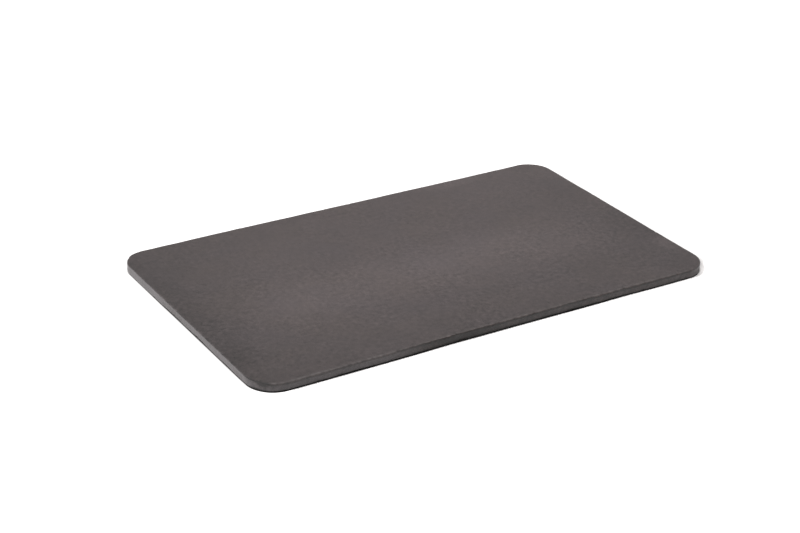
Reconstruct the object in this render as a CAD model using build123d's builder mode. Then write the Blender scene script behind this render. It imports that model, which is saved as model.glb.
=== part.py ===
from build123d import *
import os

# Basalt massage stone: one thin rectangular slab of fine-grained basalt with
# rounded corners.  It is sawn from a block, cut to outline, honed flat and then
# eased along every edge so that nothing sharp meets the skin.  It is a single
# piece of stone, warmed or chilled and laid on the body.
#
# Frame: origin at the centre of the slab's underside, +X along the long side,
# +Y along the short side, +Z up through the thickness.  Millimetres.

os.makedirs("parts", exist_ok=True)

# ---- driving dimensions ------------------------------------------------------
length = 250.0            # along X
width = 149.0             # along Y
thickness = 4.65          # along Z

# The corners are ground by hand, so their radii differ a little.
radius_right_back = 12.7
radius_left_back = 13.3
radius_left_front = 14.5
radius_right_front = 13.3

front_bow = 1.05          # hollow of the long front edge over its full length

arris_top = 0.45          # eased edge round the honed upper face
arris_bottom = 0.85       # eased edge round the underside

# ---- derived -----------------------------------------------------------------
half_l = length / 2
half_w = width / 2

# The front edge is one very flat arc.  Its ends start a little low, so that the
# rounded corners, and not the cut-off tips of the arc, set the overall width.
bow_radius = length ** 2 / (8 * front_bow) + front_bow / 2
corner_rise = front_bow - (half_l - radius_right_front) ** 2 / (2 * bow_radius)
front_tip_y = -half_w - corner_rise

# ---- the slab ----------------------------------------------------------------
with BuildPart() as stone_slab:
    with BuildSketch(Plane.XY) as outline:
        with BuildLine() as perimeter:
            ThreePointArc(
                (-half_l, front_tip_y),
                (0, front_tip_y + front_bow),
                (half_l, front_tip_y),
            )
            Line((half_l, front_tip_y), (half_l, half_w))
            Line((half_l, half_w), (-half_l, half_w))
            Line((-half_l, half_w), (-half_l, front_tip_y))
        make_face()
        for x, y, radius in (
            (half_l, half_w, radius_right_back),
            (-half_l, half_w, radius_left_back),
            (-half_l, front_tip_y, radius_left_front),
            (half_l, front_tip_y, radius_right_front),
        ):
            corner = outline.vertices().sort_by_distance((x, y, 0))[0]
            fillet(corner, radius=radius)
    extrude(amount=thickness)

    # Eased arrises: the working face keeps the crisper one, and the underside has
    # the larger one, so that fingers get under the slab to lift it.
    top_face = stone_slab.faces().sort_by(Axis.Z)[-1]
    fillet(top_face.edges(), radius=arris_top)
    bottom_face = stone_slab.faces().sort_by(Axis.Z)[0]
    fillet(bottom_face.edges(), radius=arris_bottom)

stone_slab.part.label = "stone_slab"
export_step(stone_slab.part, "parts/stone_slab.step")

box = stone_slab.part.bounding_box()
print("size mm  %.3f x %.3f x %.3f" % (box.size.X, box.size.Y, box.size.Z))
print("x %.3f..%.3f  y %.3f..%.3f  z %.3f..%.3f"
      % (box.min.X, box.max.X, box.min.Y, box.max.Y, box.min.Z, box.max.Z))
print("volume cm3  %.2f" % (stone_slab.part.volume / 1000))
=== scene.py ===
import math

import bpy
import numpy as np
from mathutils import Matrix, Vector
from mathutils.geometry import delaunay_2d_cdt


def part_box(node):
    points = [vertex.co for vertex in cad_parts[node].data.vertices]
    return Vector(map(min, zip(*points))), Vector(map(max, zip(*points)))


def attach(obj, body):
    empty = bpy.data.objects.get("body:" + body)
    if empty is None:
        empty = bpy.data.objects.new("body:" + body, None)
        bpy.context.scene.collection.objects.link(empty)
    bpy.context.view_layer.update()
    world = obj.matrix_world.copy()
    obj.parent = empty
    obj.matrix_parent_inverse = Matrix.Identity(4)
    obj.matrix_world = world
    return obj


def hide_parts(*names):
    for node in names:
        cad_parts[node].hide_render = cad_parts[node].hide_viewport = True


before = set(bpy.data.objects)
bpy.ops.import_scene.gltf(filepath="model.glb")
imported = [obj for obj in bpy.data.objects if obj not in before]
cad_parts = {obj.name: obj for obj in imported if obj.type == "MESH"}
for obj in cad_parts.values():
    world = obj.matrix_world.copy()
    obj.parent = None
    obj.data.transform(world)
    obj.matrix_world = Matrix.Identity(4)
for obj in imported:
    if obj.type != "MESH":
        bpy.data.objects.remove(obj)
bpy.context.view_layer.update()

# Basalt massage stone: one honed slab.  The mesh below keeps the design's size and
# adds what a hand-finished stone has: a slightly uneven outline, arrises eased by
# hand with small nicks in them, faces that roll off near the edge, and fine pits.
# Lengths in this script are millimetres until the mesh is made.

MM = 0.001
lo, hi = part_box("stone_slab")
LX = (hi[0] - lo[0]) / MM          # 250
LY = (hi[1] - lo[1]) / MM          # 149
T = (hi[2] - lo[2]) / MM           # 4.65
HX, HY = LX / 2, LY / 2

R_RB, R_LB, R_LF, R_RF = 12.7, 13.3, 14.5, 13.3   # corner radii
FRONT_BOW = 0.85                   # hollow of the front edge between its corners
ARRIS_TOP, ARRIS_BOTTOM = 0.45, 0.85
STEP = 0.5                         # spacing of points along the outline
INNER = 6.0                        # inset of the ring where the outline bands end
GRID = 1.7                         # spacing of points inside that ring

rng = np.random.RandomState(4127)


# ------------------------------------------------------------------ noise
def series(t, period, waves, amp, falloff=1.0):
    """A smooth closed curve of noise along a loop of the given period."""
    out = np.zeros_like(t)
    norm = 0.0
    for k in waves:
        a = (waves[0] / k) ** falloff
        out += a * np.cos(2 * math.pi * k * t / period + rng.uniform(0, 2 * math.pi))
        norm += a * a / 2
    return out * (amp / math.sqrt(norm))


def field(x, y, wavelengths, amp, per=7):
    """Smooth noise over a plane: plane waves in random directions."""
    out = np.zeros_like(x)
    n = 0
    for w in wavelengths:
        for _ in range(per):
            th = rng.uniform(0, math.pi)
            k = 2 * math.pi / (w * rng.uniform(0.75, 1.3))
            out += np.cos(k * (x * math.cos(th) + y * math.sin(th)) + rng.uniform(0, 2 * math.pi))
            n += 1
    return out * (amp * math.sqrt(2.0 / n))


def step(v, a, b):
    t = np.clip((v - a) / (b - a), 0, 1)
    return t * t * (3 - 2 * t)


# ------------------------------------------------------------------ outline
def line(p0, p1, bow=0.0):
    p0, p1 = np.array(p0, float), np.array(p1, float)
    n = max(2, int(round(np.linalg.norm(p1 - p0) / STEP)))
    u = np.linspace(0, 1, n, endpoint=False)[:, None]
    d = (p1 - p0) / np.linalg.norm(p1 - p0)
    nrm = np.array([d[1], -d[0]])
    p = p0 + (p1 - p0) * u
    v = 2 * u - 1
    p = p - nrm * bow * (1 - v * v)
    slope = 2 * bow * v * 2 / np.linalg.norm(p1 - p0)
    nn = nrm - d * slope
    return p, nn / np.linalg.norm(nn, axis=1)[:, None]


def arc(cx, cy, r, a0):
    n = int(round(r * math.pi / 2 / (STEP * 0.8)))
    a = a0 + np.linspace(0, math.pi / 2, n, endpoint=False)
    nn = np.stack([np.cos(a), np.sin(a)], 1)
    return np.array([cx, cy]) + r * nn, nn


parts = [
    line((-HX + R_LF, -HY), (HX - R_RF, -HY), FRONT_BOW),
    arc(HX - R_RF, -HY + R_RF, R_RF, -math.pi / 2),
    line((HX, -HY + R_RF), (HX, HY - R_RB)),
    arc(HX - R_RB, HY - R_RB, R_RB, 0.0),
    line((HX - R_RB, HY), (-HX + R_LB, HY)),
    arc(-HX + R_LB, HY - R_LB, R_LB, math.pi / 2),
    line((-HX, HY - R_LB), (-HX, -HY + R_LF)),
    arc(-HX + R_LF, -HY + R_LF, R_LF, math.pi),
]
P = np.concatenate([p for p, _ in parts])
NRM = np.concatenate([n for _, n in parts])
N = len(P)
seg = np.linalg.norm(np.roll(P, -1, 0) - P, axis=1)
S = np.concatenate([[0.0], np.cumsum(seg)[:-1]])
PERIM = float(seg.sum())
# blend the normals a little, so that a line and its corner meet without a crease
for _ in range(6):
    NRM = (np.roll(NRM, 1, 0) + 2 * NRM + np.roll(NRM, -1, 0)) / 4
NRM /= np.linalg.norm(NRM, axis=1)[:, None]

# The outline wanders by a few hundredths, and the back edge swings in and out by a
# fifth of a millimetre along its length.
wander = series(S, PERIM, list(range(7, 60)), 0.045, 0.8)
on_back = (P[:, 1] > HY - 0.01).astype(float)
u_back = np.clip((P[:, 0] + HX - R_LB) / (LX - R_LB - R_RB), 0, 1)
wander = wander + on_back * 0.22 * np.sin(2 * math.pi * u_back)
wander = np.minimum(wander, 0.3)
turned = np.degrees(np.arctan2(NRM[:, 1], NRM[:, 0]))
wander = wander - 0.10 * step(-NRM[:, 0], 0.6, 0.95) * (1 - step(P[:, 1], 12, 34))
wander = wander - 0.14 * np.exp(-((turned + 125) / 32) ** 2)
wander = wander + 0.28 * np.exp(-((turned - 127) / 13) ** 2) + 0.17 * step(NRM[:, 0], 0.75, 0.98)

# places along the edge: each is 1 there and falls off smoothly
x_, y_ = P[:, 0], P[:, 1]
ahead, rear = step(-NRM[:, 1], 0.5, 0.95), step(NRM[:, 1], 0.5, 0.9)
left, right_side = step(-NRM[:, 0], 0.5, 0.9), step(NRM[:, 0], 0.5, 0.9)
facing = turned
left_front = (1 - step(x_, -HX + 4, -HX + 9)) * (1 - step(y_, -HY + 11, -HY + 20))
right_front = step(x_, 109, 115) * (1 - step(y_, -66, -58))
# right front tip: its side and lower arris are lightened with a painted reflection
right_tip = step(x_, 116, 121) * (1 - step(y_, -62, -52))
left_back = step(facing, 138, 146) * (1 - step(facing, 166, 174))
# the left front corner: painted shade on its side and lower arris
corner = step(facing, -168, -150) * (1 - step(facing, -100, -84))       # left front
# along the front: where the painted contact shade on the lower arris is widest
hollow = ahead * (0.9 * np.exp(-((x_ - 2) / 45) ** 2) + 0.5 * np.exp(-((x_ + 27) / 12) ** 2)
                  + 0.25 * np.exp(-((x_ - 72) / 12) ** 2))
# right front corner and tip: the side is lightened with a painted reflection
painted_light_turn = step(facing, -89, -77) * (1 - step(facing, -5, 15))         # right front
bright_tip = (step(facing, -60, -44) + 0.35 * step(facing, -36, -22)) * (1 - step(facing, -5, 15))
tuck = 0.22 * left * (1 - step(y_, 12, 34)) + 0.20 * corner             # the side leans in below

rt = ARRIS_TOP * (1 + series(S, PERIM, list(range(5, 80)), 0.13, 0.6))
rb = ARRIS_BOTTOM * (1 + series(S, PERIM, list(range(5, 80)), 0.14, 0.6))
# the front arris is eased a little more, most near its two ends
rt = rt * (1 + ahead * (0.2 + 0.45 * (1 - step(x_, -100, -88)) + 0.2 * step(x_, -8, 2)
                        + 0.35 * step(x_, 52, 62) * (1 - step(x_, 84, 94))))
rt = np.clip(rt, 0.3, 0.95)
rb = np.clip(rb, 0.6, 1.2)

# ------------------------------------------------------------------ nicks
# Small bruises where the sharp arris crumbled before it was eased:
# x, y near the outline, half length, depth, top (1) or bottom (0)
nicks = [
    (-125, -38.0, 1.7, 0.18, 1), (-125, 8.5, 1.5, 0.15, 1), (-125, 33.0, 0.9, 0.20, 0),
    (-125, -12.0, 1.6, 0.22, 0), (-121.6, -69.8, 1.4, 0.08, 1),
    (-96.0, -74.5, 1.2, 0.22, 0), (-61.0, -74.5, 1.0, 0.18, 1), (-22.0, -74.5, 1.8, 0.24, 0),
    (18.0, -74.5, 1.2, 0.20, 1), (47.0, -74.5, 1.5, 0.22, 1), (83.0, -74.5, 1.1, 0.22, 0),
    (104.0, -74.5, 1.3, 0.20, 1), (123.0, -68.0, 1.2, 0.24, 0), (125, -31.0, 1.4, 0.10, 1),
    (125, 22.0, 1.1, 0.10, 1), (125, 51.0, 1.6, 0.22, 0), (92.0, 74.5, 1.2, 0.10, 1),
    (39.0, 74.5, 1.6, 0.24, 0), (5.0, 74.5, 1.2, 0.10, 1), (-57.0, 74.5, 1.4, 0.10, 1),
    (-99.0, 74.5, 1.1, 0.20, 0), (-121.0, 70.0, 1.3, 0.22, 1),
]
nick_top = np.zeros(N)
nick_bottom = np.zeros(N)
for x, y, half, depth, top in nicks:
    i = int(np.argmin((P[:, 0] - x) ** 2 + (P[:, 1] - y) ** 2))
    d = np.abs(S - S[i])
    d = np.minimum(d, PERIM - d)
    skew = np.where(np.arange(N) > i, 1.0, 0.72)
    g = np.clip(1 - (d / (half * skew)) ** 2, 0, None) ** 0.8 * depth
    if top:
        nick_top = np.maximum(nick_top, g)
    else:
        nick_bottom = np.maximum(nick_bottom, g)
crumble = np.clip(series(S, PERIM, list(range(120, 420, 3)), 0.5, 0.2), 0, None)
nick_top += 0.035 * crumble
nick_bottom += 0.05 * np.roll(crumble, 301)

# ------------------------------------------------------------------ rings
verts = []          # (N, 3) arrays, bottom ring of the side last
# paleness of the arris: partly rubbed, partly a painted highlight
wear_and_highlight = []           # how far the arris at that ring is rubbed, 0..1
# darkening of the lower arris: painted contact shade, and dirt
foot_shade_dirt = []           # how far into the shaded lower arris the ring is, 0..1
side = []           # 1 on the cut side faces
inset_of = []       # distance in from the outline
# darkening of the side: stains and painted shade; negative values are painted light
stain_and_painted_light = []          # how far oil and handling have darkened the side there, 0..1


# paler arrises, partly rubbed and partly a painted highlight: the long edges most, the left end and the right
# corner least, and a stronger painted highlight near the left end of the front arris
rubbed_and_highlight = 0.10 + 0.90 * np.clip(np.abs(NRM[:, 1]) * 1.25 - 0.1 + 0.5 * np.clip(NRM[:, 0], 0, 1), 0, 1)
rubbed_and_highlight = rubbed_and_highlight * (1 + series(S, PERIM, list(range(11, 140)), 0.16, 0.4)
                   + series(S, PERIM, list(range(70, 330, 3)), 0.20, 0.3))
rubbed_and_highlight = rubbed_and_highlight + 0.45 * ahead * step(x_, -117, -112) * (1 - step(x_, -98, -86))
rubbed_and_highlight = np.clip(rubbed_and_highlight, 0, None) * (1 - left_front) * (1 - 0.9 * right_front)

# the lower arris is darkened, partly painted contact shade and partly dirt, most at the left corners, least at the
# right front tip
shade_and_dirt = 1 + 0.30 * left * (1 - step(y_, 10, 26)) - 0.50 * left * step(y_, 12, 28) + 0.40 * left_front
shade_and_dirt = shade_and_dirt - 0.48 * ahead * step(x_, 48, 60) * (1 - step(x_, 84, 96)) - 0.70 * right_tip
shade_and_dirt = shade_and_dirt + 0.28 * ahead * step(x_, 100, 107) * (1 - step(x_, 114, 117))
shade_and_dirt = shade_and_dirt + 0.7 * left_back + 0.15 * left * (1 - step(y_, 10, 26)) + 0.35 * corner
shade_and_dirt = shade_and_dirt + ahead * (0.18 * step(x_, -98, -88) * (1 - step(x_, -58, -48)) + 0.25 * step(x_, 90, 98)
                         + 0.12 * (1 - step(x_, -56, -46)))

# The sides are darker in places, most in the middle of the front edge, where the darkening is painted shade.
side_darkening = 0.15 + 0.47 * step(x_, -62, -36) * (1 - step(x_, 92, 104))
side_darkening = side_darkening + 0.50 * step(x_, -46, -26) * (1 - step(x_, -16, 2)) + 0.22 * step(x_, 92, 104)
side_darkening = (side_darkening + 0.10 * step(x_, 104, 110)) * ahead
side_darkening = side_darkening + 0.35 * rear * step(x_, -95, -60) * (1 - step(x_, -5, 25))
side_darkening = side_darkening + 0.30 * right_side * step(y_, -40, -10) * (1 - step(y_, 25, 50))
side_darkening = side_darkening + left * (0.24 * (1 - step(y_, 14, 30)) + 0.14 * (1 - step(np.abs(y_ - 9), 2, 10))
                      - 0.07 * (1 - step(y_, -6, 2)))
side_darkening = side_darkening + series(S, PERIM, list(range(9, 90)), 0.04, 0.7)
side_darkening = np.clip(side_darkening, 0, 1.3) - 0.06 * left * step(y_, 40, 47) - 0.10 * left_front
# a brown smudge on the left front corner, and a brown line under the front arris
i = int(np.argmin((x_ + 121.6) ** 2 + (y_ + 69.8) ** 2))
d = np.abs(S - S[i])
smudge = np.exp(-(np.minimum(d, PERIM - d) / 2.6) ** 2)
under = ahead * step(x_, -44, -32) * (1 - step(x_, -12, 0))


def ring(inset, z, w, s, f=0.0, dirt_and_painted_light=0.0, low=0.0):
    xy = P + NRM * (wander - inset - tuck * low)[:, None]
    verts.append(np.column_stack([xy, z]))
    wear_and_highlight.append(w * rubbed_and_highlight)
    foot_shade_dirt.append(f * shade_and_dirt)
    side.append(np.full(N, s))
    stain_and_painted_light.append(side_darkening * s + dirt_and_painted_light)
    inset_of.append(inset * np.ones(N))


one = np.ones(N)
side_swell = series(S, PERIM, list(range(9, 70)), 0.02, 0.7)
matt = left_front * (1 - step(x_, -120, -115))
left_fore = left * (1 - step(y_, 0, 10)) * (1 - left_front)

# inner ring on the top first, then outwards, down the side, and in again underneath
for d in (INNER, 4.6, 3.3, 2.3, 1.6):
    ring(d * one, T * one, 0.0, 0.0)
ring(rt + 0.30, T * one, 0.15, 0.0)
# top arris: along the front its lower part gets painted shade, a dark line under the highlight; at the right front
# corner painted shade where a highlight would show and painted light where it turns; darker in the nicks; dirt and
# smudges
for k, a in enumerate((90, 75, 60, 45, 30, 15, 0)):
    r = math.radians(a)
    bite = nick_top * math.sin(math.radians(2 * min(a, 90 - a) + 20)) ** 0.6 if 0 <= a <= 90 else 0
    ring(rt * (1 - math.cos(r)) + bite * 0.75,
         T - rt * (1 - math.sin(r)) - bite * 0.75,
         (0.3, 0.7, 0.95, 1.0, 0.9, 0.55, 0.15)[k], (0, 0.1, 0.3, 0.5, 0.8, 1, 1)[k],
         f=(0.05, 0.14, 0.25, 0.35, 0.4, 0.3, 0.2)[k] * matt,
         dirt_and_painted_light=(0, 0, 0.05, 0.12, 0.2, 0.35, 0.45)[k] * left_front
         + (0, 0, 0, 0.03, 0.12, 0.3, 0.45)[k] * ahead + (0, 0, 0, 0.05, 0.15, 0.3, 0.4)[k] * under
         + (0, 0, 0.1, 0.25, 0.35, 0.3, 0.15)[k] * left_fore
         + (0, 0, 0, 0, 0.1, 0.35, 0.5)[k] * smudge - (0.1, 0.15, 0.25, 0.35, 0.45, 0.55, 0.6)[k] * painted_light_turn
         + (0.15, 0.3, 0.4, 0.4, 0.3, 0.1, 0)[k] * right_front * (1 - painted_light_turn)
         + nick_top * (0, 0.6, 1.2, 1.6, 1.6, 1.2, 0.6)[k])
# side: along the front a band of painted shade under the arris and painted light on the lower part, evening out the
# floor's shade; painted shade at the left front corner; painted light at the right front corner and tip; smudges
# and the brown line
for k, f in enumerate((0.08, 0.17, 0.27, 0.45, 0.62, 0.80)):
    z = (T - rt) * (1 - f) + rb * f
    ring(-side_swell * math.sin(math.pi * f), z, 0.0, 1.0, low=f,
         f=(0, 0, 0, 0, 0.4, 0.9)[k] * left_back + (0, 0, 0, 0, 0, 0.06)[k] * hollow,
         dirt_and_painted_light=(0.50, 0.36, 0.0, -0.02, -0.06, -0.13)[k] * ahead
         + (0.32, 0.24, 0.04, 0, 0, 0)[k] * under + (0.4, 0.2, 0.1, 0, 0, 0)[k] * left_front
         + (0.6, 0.7, 0.6, 0.42, 0.25, 0.1)[k] * smudge + 0.09 * corner
         - (0.12, 0.2, 0.25, 0.3, 0.35, 0.45)[k] * right_tip
         - (0.75, 0.5, 0.2, 0.0, 0, 0)[k] * painted_light_turn
         - (0.15, 0.25, 0.4, 0.55, 0.6, 0.45)[k] * bright_tip)
# lower arris: painted contact shade and dirt, widest at the left corners and where the front is hollow; lighter at
# the right front tip, painted light
for k, a in enumerate((0, 18, 36, 54, 72, 90)):
    r = math.radians(a)
    bite = nick_bottom * math.sin(math.radians(2 * min(a, 90 - a) + 20)) ** 0.6
    ring(rb * (1 - math.cos(r)) + bite * 0.75, rb * (1 - math.sin(r)) + bite * 0.75,
         0.0, (1, 1, 0.8, 0.5, 0.2, 0)[k], low=1.0,
         f=(0.0, 0.2, 0.8, 1, 1, 1)[k] + (0.9, 0.8, 0.2, 0, 0, 0)[k] * left_back
         + (0.22, 0.5, 0.2, 0, 0, 0)[k] * corner + (0.35, 0.65, 0.2, 0, 0, 0)[k] * hollow,
         dirt_and_painted_light=(-0.16, -0.08, 0, 0, 0, 0)[k] * ahead - (0.3, 0.3, 0.2, 0, 0, 0)[k] * right_tip)
for d, low in ((1.5, 0.8), (2.3, 0.5), (3.3, 0.2), (4.6, 0.0), (INNER, 0.0)):
    ring(d * one, 0 * one, 0.0, 0.0, low=low)
RINGS = len(verts)

V = np.concatenate(verts)
WEAR_AND_HIGHLIGHT = np.concatenate(wear_and_highlight)
FOOT_SHADE_DIRT = np.concatenate(foot_shade_dirt)
SIDE = np.concatenate(side)
INS = np.concatenate(inset_of)
STAIN_AND_PAINTED_LIGHT = np.concatenate(stain_and_painted_light)

faces = []
idx = np.arange(N)
nxt = (idx + 1) % N
for r in range(RINGS - 1):
    a, b = r * N, (r + 1) * N
    faces.append(np.column_stack([a + idx, b + idx, b + nxt, a + nxt]))
quads = np.concatenate(faces)

# ------------------------------------------------------------------ the two faces
gx = np.arange(-HX + INNER, HX - INNER, GRID)
gy = np.arange(-HY + INNER, HY - INNER, GRID * 0.866)
GX, GY = np.meshgrid(gx, gy)
GX = GX + (np.arange(len(gy)) % 2)[:, None] * GRID / 2
pts = np.column_stack([GX.ravel(), GY.ravel()])
pts = pts + rng.uniform(-0.12, 0.12, pts.shape) * GRID
inner = V[:N, :2]


def room(p):
    """Distance from each point in to the rounded rectangle's outline."""
    out = np.minimum(HX - np.abs(p[:, 0]), HY - np.abs(p[:, 1]))
    for sx, sy, r in ((1, 1, R_RB), (-1, 1, R_LB), (-1, -1, R_LF), (1, -1, R_RF)):
        cx, cy = sx * (HX - r), sy * (HY - r)
        m = ((p[:, 0] - cx) * sx > 0) & ((p[:, 1] - cy) * sy > 0)
        dd = r - np.hypot(p[:, 0] - cx, p[:, 1] - cy)
        out = np.where(m, np.minimum(out, dd), out)
    low = np.clip(FRONT_BOW * (1 - (p[:, 0] / (HX - 14)) ** 2), 0, None)
    return np.where(p[:, 1] < 0, np.minimum(out, HY + p[:, 1] - low), out)


pts = pts[room(pts) > INNER + 0.75 * GRID]
flat = [Vector((float(x), float(y))) for x, y in np.concatenate([inner, pts])]
loop = [(i, (i + 1) % N) for i in range(N)]
out_v, _, out_f, orig_v, _, _ = delaunay_2d_cdt(flat, loop, [], 1, 1e-6)
back = [o[0] for o in orig_v]
tri = np.array([[back[i] for i in f] for f in out_f], int)
# counter-clockwise seen from above
q = np.concatenate([inner, pts])
area = np.cross(q[tri[:, 1]] - q[tri[:, 0]], q[tri[:, 2]] - q[tri[:, 0]])
tri = np.where((area < 0)[:, None], tri[:, ::-1], tri)
M = len(pts)

top_inside = np.column_stack([pts, np.full(M, T)])
bottom_inside = np.column_stack([pts, np.zeros(M)])
base = len(V)
V = np.concatenate([V, top_inside, bottom_inside])
WEAR_AND_HIGHLIGHT = np.concatenate([WEAR_AND_HIGHLIGHT, np.zeros(2 * M)])
FOOT_SHADE_DIRT = np.concatenate([FOOT_SHADE_DIRT, np.zeros(2 * M)])
SIDE = np.concatenate([SIDE, np.zeros(2 * M)])
STAIN_AND_PAINTED_LIGHT = np.concatenate([STAIN_AND_PAINTED_LIGHT, np.zeros(2 * M)])
INS = np.concatenate([INS, room(pts), room(pts)])
top_map = np.concatenate([np.arange(N), base + np.arange(M)])
bot_map = np.concatenate([(RINGS - 1) * N + np.arange(N), base + M + np.arange(M)])
tri_top = top_map[tri]
tri_bot = bot_map[tri][:, ::-1]

# ------------------------------------------------------------------ relief
# Honed by hand: low swells of a few hundredths, and a roll-off towards the edge.
x, y = V[:, 0], V[:, 1]
hone = field(x, y, (34, 60, 110), 0.016)
roll = -0.055 * np.exp(-INS / 4.5)
V[:, 2] += np.where(V[:, 2] > T * 0.5, (hone + roll) * np.clip(V[:, 2] / T, 0, 1) ** 4, 0)
lift = 0.020 + field(x, y, (45, 90), 0.010) + 0.05 * np.exp(-INS / 4.0)
V[:, 2] += np.where(V[:, 2] < T * 0.5, np.clip(lift, 0, None) * np.clip(1 - V[:, 2] / T, 0, 1) ** 4, 0)
V[:, 2] -= V[:, 2].min()
V[:, 2] *= min(1.0, T / V[:, 2].max())

# ------------------------------------------------------------------ mesh
mesh = bpy.data.meshes.new("honed_basalt_slab")
polys = [tuple(map(int, f)) for f in quads] + [tuple(map(int, f)) for f in tri_top] + [tuple(map(int, f)) for f in tri_bot]
mesh.from_pydata((V * MM).tolist(), [], polys)
mesh.validate(verbose=False)
mesh.update()
mesh.shade_smooth()
for name, values in (("wear_and_highlight", WEAR_AND_HIGHLIGHT), ("cut", SIDE), ("inset", INS), ("foot_shade_dirt", FOOT_SHADE_DIRT), ("stain_and_painted_light", STAIN_AND_PAINTED_LIGHT)):
    at = mesh.attributes.new(name, "FLOAT", "POINT")
    at.data.foreach_set("value", np.ascontiguousarray(values, dtype=np.float32))
stone = bpy.data.objects.new("honed_basalt_slab", mesh)
bpy.context.scene.collection.objects.link(stone)


# ------------------------------------------------------------------ material
class Nodes:
    """Short names for the nodes that the stone needs."""

    def __init__(self, tree):
        self.t = tree

    def new(self, kind, **props):
        n = self.t.nodes.new(kind)
        for k, v in props.items():
            setattr(n, k, v)
        return n

    def put(self, socket, value):
        if isinstance(value, (int, float)):
            socket.default_value = value
        elif isinstance(value, (tuple, list)):
            socket.default_value = value
        else:
            self.t.links.new(value, socket)

    def math(self, op, a, b=0.0, c=0.0, clamp=False):
        n = self.new("ShaderNodeMath", operation=op, use_clamp=clamp)
        self.put(n.inputs[0], a)
        self.put(n.inputs[1], b)
        self.put(n.inputs[2], c)
        return n.outputs[0]

    def scale(self, v, s):
        n = self.new("ShaderNodeVectorMath", operation="MULTIPLY")
        self.put(n.inputs[0], v)
        n.inputs[1].default_value = s
        return n.outputs[0]

    def shift(self, v, s):
        n = self.new("ShaderNodeVectorMath", operation="ADD")
        self.put(n.inputs[0], v)
        n.inputs[1].default_value = s
        return n.outputs[0]

    def noise(self, v, scale, detail=2.0, rough=0.5, distort=0.0):
        n = self.new("ShaderNodeTexNoise", noise_dimensions="3D")
        self.put(n.inputs["Vector"], v)
        n.inputs["Scale"].default_value = scale
        n.inputs["Detail"].default_value = detail
        n.inputs["Roughness"].default_value = rough
        n.inputs["Distortion"].default_value = distort
        return n.outputs["Fac"]

    def cells(self, v, scale, feature="F1", rand=1.0):
        n = self.new("ShaderNodeTexVoronoi", voronoi_dimensions="3D", feature=feature)
        self.put(n.inputs["Vector"], v)
        n.inputs["Scale"].default_value = scale
        n.inputs["Randomness"].default_value = rand
        return n

    def remap(self, v, a, b, c, d, smooth=False):
        n = self.new("ShaderNodeMapRange", interpolation_type="SMOOTHSTEP" if smooth else "LINEAR", clamp=True)
        self.put(n.inputs[0], v)
        for i, w in enumerate((a, b, c, d)):
            n.inputs[1 + i].default_value = w
        return n.outputs[0]

    def attr(self, name):
        n = self.new("ShaderNodeAttribute", attribute_type="GEOMETRY", attribute_name=name)
        return n.outputs["Fac"]

    def mix(self, fac, a, b, blend="MIX"):
        n = self.new("ShaderNodeMix", data_type="RGBA", blend_type=blend)
        self.put(n.inputs[0], fac)
        self.put(n.inputs[6], a)
        self.put(n.inputs[7], b)
        return n.outputs[2]


mat = bpy.data.materials.new("basalt")
mat.use_nodes = True
mat.node_tree.nodes.clear()
g = Nodes(mat.node_tree)
obj = g.new("ShaderNodeTexCoord").outputs["Object"]
mm = g.scale(obj, (1000, 1000, 1000))            # millimetres on the stone
sep = g.new("ShaderNodeSeparateXYZ")
g.put(sep.inputs[0], mm)
X, Y, Z = sep.outputs

wear_and_highlight_a, cut_a, ins_a, foot_shade_dirt_a = g.attr("wear_and_highlight"), g.attr("cut"), g.attr("inset"), g.attr("foot_shade_dirt")
stain_and_painted_light_a = g.attr("stain_and_painted_light")

# tone: 1.0 is the plain honed face
broad = g.noise(mm, 0.017, 2.0, 0.55)                       # drifts over the slab
cloud = g.noise(g.shift(mm, (311, 77, 5)), 0.085, 3.0, 0.6, 0.4)   # patches of 10 mm
grain = g.noise(g.shift(mm, (19, 203, 0)), 0.42, 2.5, 0.62)        # crystals of 1 to 2 mm
fine = g.noise(mm, 1.9, 2.0, 0.6)                           # crystals of 0.3 mm
# faint diagonal marks left by the last honing passes
turn = g.new("ShaderNodeVectorRotate", rotation_type="Z_AXIS")
g.put(turn.inputs["Vector"], mm)
turn.inputs["Angle"].default_value = math.radians(38)
streak = g.noise(g.scale(turn.outputs[0], (0.035, 0.55, 0.35)), 1.0, 2.0, 0.6)
streak_gate = g.remap(g.noise(g.shift(mm, (90, 10, 0)), 0.03, 1.0, 0.5), 0.45, 0.62, 0.0, 1.0, True)

tone = g.math("MULTIPLY_ADD", g.math("SUBTRACT", broad, 0.5), 0.16, 1.0)
tone = g.math("MULTIPLY_ADD", g.math("SUBTRACT", cloud, 0.5), 0.34, tone)
# the crystals show more in some patches than in others, and less towards the back
crisp = g.remap(g.noise(g.shift(mm, (40, 260, 11)), 0.045, 2.0, 0.5), 0.38, 0.62, 0.75, 1.2, True)
crisp = g.math("MULTIPLY", crisp, g.remap(Y, 8.0, 36.0, 1.0, 0.78, True))
crisp = g.math("MULTIPLY", crisp, g.remap(g.math("MULTIPLY_ADD", Y, 0.6, X), -150.0, -95.0, 0.86, 1.0, True))
band_y = g.math("ABSOLUTE", g.math("ADD", Y, 12.0))
crisp = g.math("MULTIPLY", crisp, g.remap(band_y, 6.0, 28.0, 1.2, 1.0, True))
crisp = g.math("MULTIPLY", crisp, g.remap(X, -70.0, 15.0, 0.90, 1.09, True))
crystals = g.math("MULTIPLY", g.math("SUBTRACT", grain, 0.5), 1.18)
crystals = g.math("MULTIPLY_ADD", g.math("SUBTRACT", fine, 0.5), 0.66, crystals)
tone = g.math("MULTIPLY_ADD", crystals, crisp, tone)
tone = g.math("MULTIPLY_ADD", g.math("MULTIPLY", g.math("SUBTRACT", streak, 0.5), streak_gate), 0.22, tone)

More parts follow.
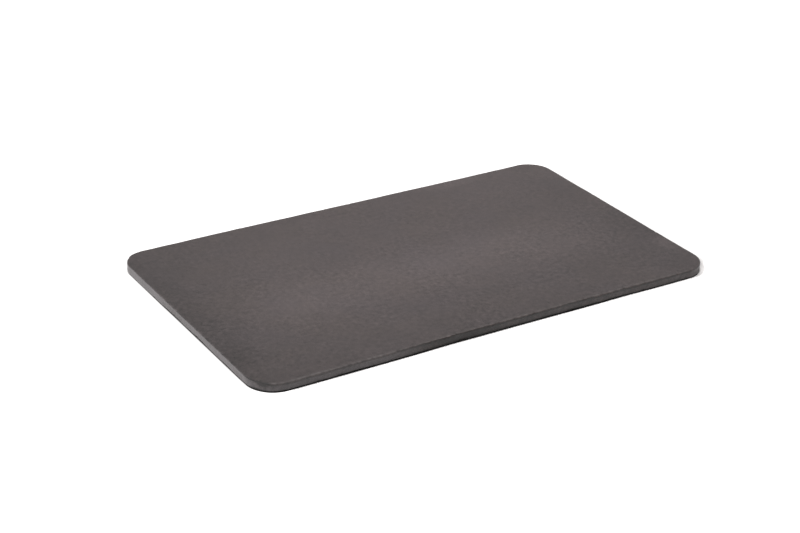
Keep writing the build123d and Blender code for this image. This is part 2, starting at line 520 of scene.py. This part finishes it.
# dark and pale mineral specks
spk = g.cells(mm, 0.42)
sc = g.new("ShaderNodeSeparateColor")
g.put(sc.inputs[0], spk.outputs["Color"])
rare = g.remap(sc.outputs[0], 0.80, 0.84, 0.0, 1.0)
dark = g.math("MULTIPLY", g.remap(spk.outputs["Distance"], 0.14, 0.32, 1.0, 0.0, True), rare)
spk2 = g.cells(g.shift(mm, (51, 7, 33)), 0.62)
sc2 = g.new("ShaderNodeSeparateColor")
g.put(sc2.inputs[0], spk2.outputs["Color"])
pale = g.math("MULTIPLY", g.remap(spk2.outputs["Distance"], 0.10, 0.26, 1.0, 0.0, True),
              g.remap(sc2.outputs[1], 0.90, 0.93, 0.0, 1.0))
tone = g.math("MULTIPLY_ADD", dark, -0.16, tone)
tone = g.math("MULTIPLY_ADD", pale, 0.16, tone)

# painted sheen: a paler band along the slab, a little in front of the middle, standing in for a broad glossy
# reflection on the honed top
band_y = g.math("ABSOLUTE", g.math("ADD", Y, 10.0))
sheen_band = g.remap(band_y, 3.0, 30.0, 1.0, 0.0, True)
sheen_band = g.math("MULTIPLY", sheen_band, g.remap(g.math("ABSOLUTE", g.math("ADD", X, 6.0)), 62.0, 112.0, 1.0, 0.0, True))
tone = g.math("MULTIPLY_ADD", sheen_band, 0.21, tone)

# darker round the border, but little along the back, at the two ends, most at the left one,
# along the front and at the back left; paler towards the back right and at the right tip
back_part = g.remap(Y, 25.0, 62.0, 0.0, 1.0, True)
border = g.remap(ins_a, 0.0, 26.0, 1.0, 0.0, True)
border = g.math("MULTIPLY", border, g.math("MULTIPLY_ADD", back_part, -0.85, 1.0))
border = g.math("MULTIPLY", border, g.math("MULTIPLY_ADD", g.remap(X, 60.0, 105.0, 0.0, 1.0, True), -0.6, 1.0))
tone = g.math("MULTIPLY_ADD", border, -0.10, tone)
tone = g.math("MULTIPLY_ADD", g.remap(X, -125.0, -58.0, 1.0, 0.0, True), -0.20, tone)
tone = g.math("MULTIPLY_ADD", g.remap(X, -125.0, -108.0, 1.0, 0.0, True), -0.07, tone)
tone = g.math("MULTIPLY_ADD", g.remap(X, 85.0, 108.0, 0.0, 1.0, True), -0.06, tone)
tone = g.math("MULTIPLY_ADD", g.remap(X, 112.0, 122.0, 0.0, 1.0, True), 0.045, tone)
front_part = g.math("MULTIPLY", g.remap(Y, -52.0, -30.0, 1.0, 0.0, True), g.remap(X, -112.0, -60.0, 0.0, 1.0, True))
tone = g.math("MULTIPLY_ADD", front_part, -0.07, tone)
far_left = g.math("MULTIPLY", back_part, g.remap(X, -70.0, -15.0, 1.0, 0.0, True))
tone = g.math("MULTIPLY_ADD", far_left, -0.08, tone)
far_right = g.math("MULTIPLY", back_part, g.remap(X, 35.0, 90.0, 0.0, 1.0, True))
tone = g.math("MULTIPLY_ADD", far_right, 0.12, tone)


# soft stains, rubbed patches and flecks: centre, half widths, change of tone
def patch(tone, x, y, rx, ry, amount):
    px = g.math("MULTIPLY", g.math("SUBTRACT", X, float(x)), 1.0 / rx)
    py = g.math("MULTIPLY", g.math("SUBTRACT", Y, float(y)), 1.0 / ry)
    d2 = g.math("MULTIPLY_ADD", px, px, g.math("MULTIPLY", py, py))
    return g.math("MULTIPLY_ADD", g.remap(d2, 0.0, 1.0, 1.0, 0.0, True), amount, tone)


stains = 0.0
for where in ((128, -22, 25, 32, -0.17), (65, 72, 28, 7.5, 0.20), (-30, 72, 16, 7, -0.08), (118, 73, 18, 9, -0.06),
              (121, -43, 6.5, 10, 0.27), (118, -66, 20, 14, -0.07),
              (22, 12, 62, 34, 0.08), (-121, -45, 16, 16, -0.10), (-88, -22, 22, 20, 0.05),
              (84, -45, 32, 24, -0.05), (-102, 26, 2.4, 2.0, -0.14), (-53, -28, 1.8, 1.4, -0.16),
              (-102, -62, 3.0, 2.0, -0.10), (33, 27, 3.4, 1.2, -0.10)):
    stains = patch(stains, *where)
tone = g.math("MULTIPLY_ADD", stains, g.math("SUBTRACT", 1.0, cut_a), tone)

# the arrises are paler, partly rubbed and partly a painted highlight, and the cut sides a little paler, partly
# painted light; the lower arris is darker with painted contact shade and dirt, and the sides darker with stains and
# painted shade, paler where light is painted
tone = g.math("MULTIPLY_ADD", wear_and_highlight_a, 0.60, tone)
tone = g.math("MULTIPLY_ADD", foot_shade_dirt_a, -0.85, tone)
tone = g.math("MULTIPLY_ADD", cut_a, 0.30, tone)
torn = g.noise(g.scale(mm, (0.28, 0.28, 0.55)), 1.0, 2.0, 0.6)       # torn and polished patches
tone = g.math("MULTIPLY_ADD", g.math("MULTIPLY", g.math("SUBTRACT", torn, 0.5), cut_a), 0.60, tone)
tone = g.math("MULTIPLY_ADD", g.math("MULTIPLY", g.math("SUBTRACT", grain, 0.5), cut_a), 0.70, tone)
tone = g.math("MULTIPLY_ADD", stain_and_painted_light_a, -1.0, tone)
tone = g.math("MAXIMUM", tone, 0.12)

hue = g.remap(g.noise(g.shift(mm, (7, 150, 60)), 0.03, 3.0, 0.6), 0.35, 0.65, 0.0, 1.0)
ground = g.mix(hue, (0.0670, 0.0535, 0.0522, 1), (0.0650, 0.0527, 0.0535, 1))
ground = g.mix(cut_a, ground, (0.0613, 0.0541, 0.0572, 1))      # greyer on the cut sides
ground = g.mix(wear_and_highlight_a, ground, (0.0622, 0.0557, 0.0560, 1))
ground = g.mix(g.math("MULTIPLY", stain_and_painted_light_a, 0.5), ground, (0.0840, 0.0530, 0.0470, 1))
vec = g.new("ShaderNodeVectorMath", operation="SCALE")
g.put(vec.inputs[0], ground)
g.put(vec.inputs["Scale"], tone)

bsdf = g.new("ShaderNodeBsdfPrincipled")
g.put(bsdf.inputs["Base Color"], vec.outputs[0])
bsdf.inputs["IOR"].default_value = 1.55
bsdf.inputs["Specular IOR Level"].default_value = 0.5

rough = g.math("MULTIPLY_ADD", g.math("SUBTRACT", cloud, 0.5), 0.16, 0.50)
rough = g.math("MULTIPLY_ADD", g.math("SUBTRACT", grain, 0.5), 0.22, rough)
rough = g.math("MULTIPLY_ADD", sheen_band, -0.03, rough)
rough = g.math("MULTIPLY_ADD", cut_a, -0.22, rough)
rough = g.math("MULTIPLY_ADD", g.math("MULTIPLY", g.math("SUBTRACT", torn, 0.5), cut_a), 0.45, rough)
rough = g.math("MULTIPLY_ADD", g.math("MULTIPLY", g.math("SUBTRACT", grain, 0.5), cut_a), 0.45, rough)
rough = g.math("MULTIPLY_ADD", g.math("MAXIMUM", stain_and_painted_light_a, 0.0), 0.16, rough)
rough = g.math("MULTIPLY_ADD", foot_shade_dirt_a, 0.50, rough)
rough = g.math("MULTIPLY_ADD", wear_and_highlight_a, -0.05, rough)
g.put(bsdf.inputs["Roughness"], g.math("MINIMUM", g.math("MAXIMUM", rough, 0.28), 0.8))

# relief: crystals, open pits, honing marks, and saw lines on the cut sides
saw = g.noise(g.scale(mm, (0.12, 0.12, 2.6)), 1.0, 2.0, 0.6)
height = g.math("MULTIPLY", grain, 0.55)
height = g.math("MULTIPLY_ADD", fine, 0.35, height)
height = g.math("MULTIPLY_ADD", dark, -0.35, height)
height = g.math("MULTIPLY_ADD", g.math("MULTIPLY", streak, streak_gate), 0.30, height)
height = g.math("MULTIPLY_ADD", g.math("MULTIPLY", saw, cut_a), 0.8, height)
height = g.math("MULTIPLY_ADD", g.math("MULTIPLY", torn, cut_a), 3.0, height)
height = g.math("MULTIPLY_ADD", g.math("MULTIPLY", grain, cut_a), 1.3, height)
bump = g.new("ShaderNodeBump")
bump.inputs["Strength"].default_value = 0.5
bump.inputs["Distance"].default_value = 0.00006
g.put(bump.inputs["Height"], height)
g.put(bsdf.inputs["Normal"], bump.outputs[0])
out = g.new("ShaderNodeOutputMaterial")
g.put(out.inputs["Surface"], bsdf.outputs[0])
mesh.materials.append(mat)

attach(stone, "root")
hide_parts("stone_slab")

# ------------------------------------------------------------------ stage
fm = bpy.data.meshes.new("floor")
F = 12.0
fm.from_pydata([(-F, -F, -0.00002), (F, -F, -0.00002), (F, F, -0.00002), (-F, F, -0.00002)], [], [(0, 1, 2, 3)])
floor = bpy.data.objects.new("floor", fm)
bpy.context.scene.collection.objects.link(floor)
fmat = bpy.data.materials.new("floor")
fmat.use_nodes = True
ft = fmat.node_tree
ft.nodes.clear()
f = Nodes(ft)
plain = f.new("ShaderNodeBsdfDiffuse")
plain.inputs["Color"].default_value = (0.90, 0.885, 0.88, 1)
# For camera rays the sheet is scaled up to white around the stone, as a white sweep in a studio looks, but a
# contact shadow is painted in a rim of about a millimetre beside the outline. Other rays see the plain pale sheet.
where = f.new("ShaderNodeSeparateXYZ")
f.put(where.inputs[0], f.scale(f.new("ShaderNodeTexCoord").outputs["Object"], (1000, 1000, 1000)))
qx = f.math("SUBTRACT", f.math("ABSOLUTE", where.outputs[0]), HX - 13.5)
qy = f.math("SUBTRACT", f.math("ABSOLUTE", where.outputs[1]), HY - 13.5)
ox, oy = f.math("MAXIMUM", qx, 0.0), f.math("MAXIMUM", qy, 0.0)
away = f.math("SQRT", f.math("ADD", f.math("MULTIPLY", ox, ox), f.math("MULTIPLY", oy, oy)))
away = f.math("ADD", away, f.math("MINIMUM", f.math("MAXIMUM", qx, qy), 0.0))
away = f.math("SUBTRACT", away, 13.5)                # distance out from the stone's outline
# the painted shadow rim is wider in front where the edge is hollow, at the left and at the left front corner, and
# right of the right front tip it spreads into a soft painted shadow
tip_shadow_zone = f.math("MULTIPLY", f.remap(where.outputs[0], 117.5, 124.0, 0.0, 1.0, True),
                   f.remap(where.outputs[1], -69.0, -61.0, 1.0, 0.0, True))
in_front = f.remap(where.outputs[1], -72.0, -60.0, 1.0, 0.0, True)
for mid, half, deep in ((2.0, 45.0, 0.52), (-27.0, 12.0, 0.33), (72.0, 12.0, 0.36)):
    off = f.math("MULTIPLY", f.math("SUBTRACT", where.outputs[0], mid), 1.0 / half)
    swell = f.math("EXPONENT", f.math("MULTIPLY", f.math("MULTIPLY", off, off), -1.0))
    away = f.math("MULTIPLY_ADD", f.math("MULTIPLY", swell, in_front), deep, away)
left_rim = f.math("MULTIPLY", f.remap(where.outputs[0], -122.0, -118.0, 1.0, 0.0, True),
                  f.remap(where.outputs[1], 8.0, 26.0, 1.0, 0.0, True))
away = f.math("MULTIPLY_ADD", left_rim, 0.12, away)
corner_rim = f.math("MULTIPLY", f.remap(where.outputs[0], -112.0, -104.0, 1.0, 0.0, True),
                    f.remap(where.outputs[1], -62.0, -52.0, 1.0, 0.0, True))
away = f.math("MULTIPLY_ADD", corner_rim, 0.16, away)
clear = f.math("DIVIDE", f.math("ADD", away, 0.42), f.math("MULTIPLY_ADD", tip_shadow_zone, 0.65, 0.70))
clear = f.remap(clear, 0.0, 1.0, 0.0, 1.0, True)
close = f.math("MULTIPLY_ADD", in_front, 0.9, 1.0)
close = f.math("MULTIPLY_ADD", tip_shadow_zone, 0.6, close)
level = f.math("MULTIPLY_ADD", close, clear, 0.04)
sweep = f.remap(away, 2.0, 40.0, 0.0, 1.0, True)
level = f.math("ADD", level, f.math("MULTIPLY", f.math("SUBTRACT", 3.0, level), sweep))
paper = f.new("ShaderNodeVectorMath", operation="SCALE")
paper.inputs[0].default_value = (0.90, 0.885, 0.88)
f.put(paper.inputs["Scale"], level)
seen = f.new("ShaderNodeBsdfDiffuse")
f.put(seen.inputs["Color"], paper.outputs[0])
pick = f.new("ShaderNodeMixShader")
f.put(pick.inputs[0], f.new("ShaderNodeLightPath").outputs["Is Camera Ray"])
f.put(pick.inputs[1], plain.outputs[0])
f.put(pick.inputs[2], seen.outputs[0])
f.put(f.new("ShaderNodeOutputMaterial").inputs["Surface"], pick.outputs[0])
fm.materials.append(fmat)

world = bpy.data.worlds.new("studio")
bpy.context.scene.world = world
world.use_nodes = True
wt = world.node_tree
wt.nodes.clear()
w = Nodes(wt)
light_bg = w.new("ShaderNodeBackground")
light_bg.inputs["Color"].default_value = (1.0, 0.99, 0.985, 1)
light_bg.inputs["Strength"].default_value = 0.50
seen_bg = w.new("ShaderNodeBackground")
seen_bg.inputs["Color"].default_value = (1, 1, 1, 1)
seen_bg.inputs["Strength"].default_value = 3.0
ray = w.new("ShaderNodeLightPath")
mixer = w.new("ShaderNodeMixShader")
w.put(mixer.inputs[0], ray.outputs["Is Camera Ray"])
w.put(mixer.inputs[1], light_bg.outputs[0])
w.put(mixer.inputs[2], seen_bg.outputs[0])
wo = w.new("ShaderNodeOutputWorld")
w.put(wo.inputs["Surface"], mixer.outputs[0])


def softbox(name, loc, size, power, target=(0, 0, 0), color=(1, 1, 1)):
    d = bpy.data.lights.new(name, "AREA")
    d.shape = "RECTANGLE"
    d.size, d.size_y = size
    d.energy = power
    d.color = color
    o = bpy.data.objects.new(name, d)
    o.location = loc
    o.rotation_euler = (Vector(target) - Vector(loc)).to_track_quat("-Z", "Y").to_euler()
    bpy.context.scene.collection.objects.link(o)
    return o


softbox("key", (-2.40, 0.60, 2.25), (2.0, 2.0), 140.0)

# ------------------------------------------------------------------ camera
cam_data = bpy.data.cameras.new("camera")
cam_data.sensor_fit = "HORIZONTAL"
cam_data.sensor_width = 36.0
cam_data.lens = 80.87447
cam_data.clip_start = 0.01
cam_data.clip_end = 100.0
cam = bpy.data.objects.new("camera", cam_data)
bpy.context.scene.collection.objects.link(cam)
right = Vector((0.85211795, -0.52288226, 0.02211661))
up = Vector((0.21413810, 0.38690837, 0.89690957))
back_v = right.cross(up)
m = Matrix((right, up, back_v)).transposed().to_4x4()
m.translation = Vector((-0.42806775, -0.66635679, 0.39077926))
cam.matrix_world = m
bpy.context.scene.camera = cam

view = bpy.context.scene.view_settings
view.view_transform = "Standard"
view.look = "None"
view.exposure = 0.0
view.gamma = 1.0
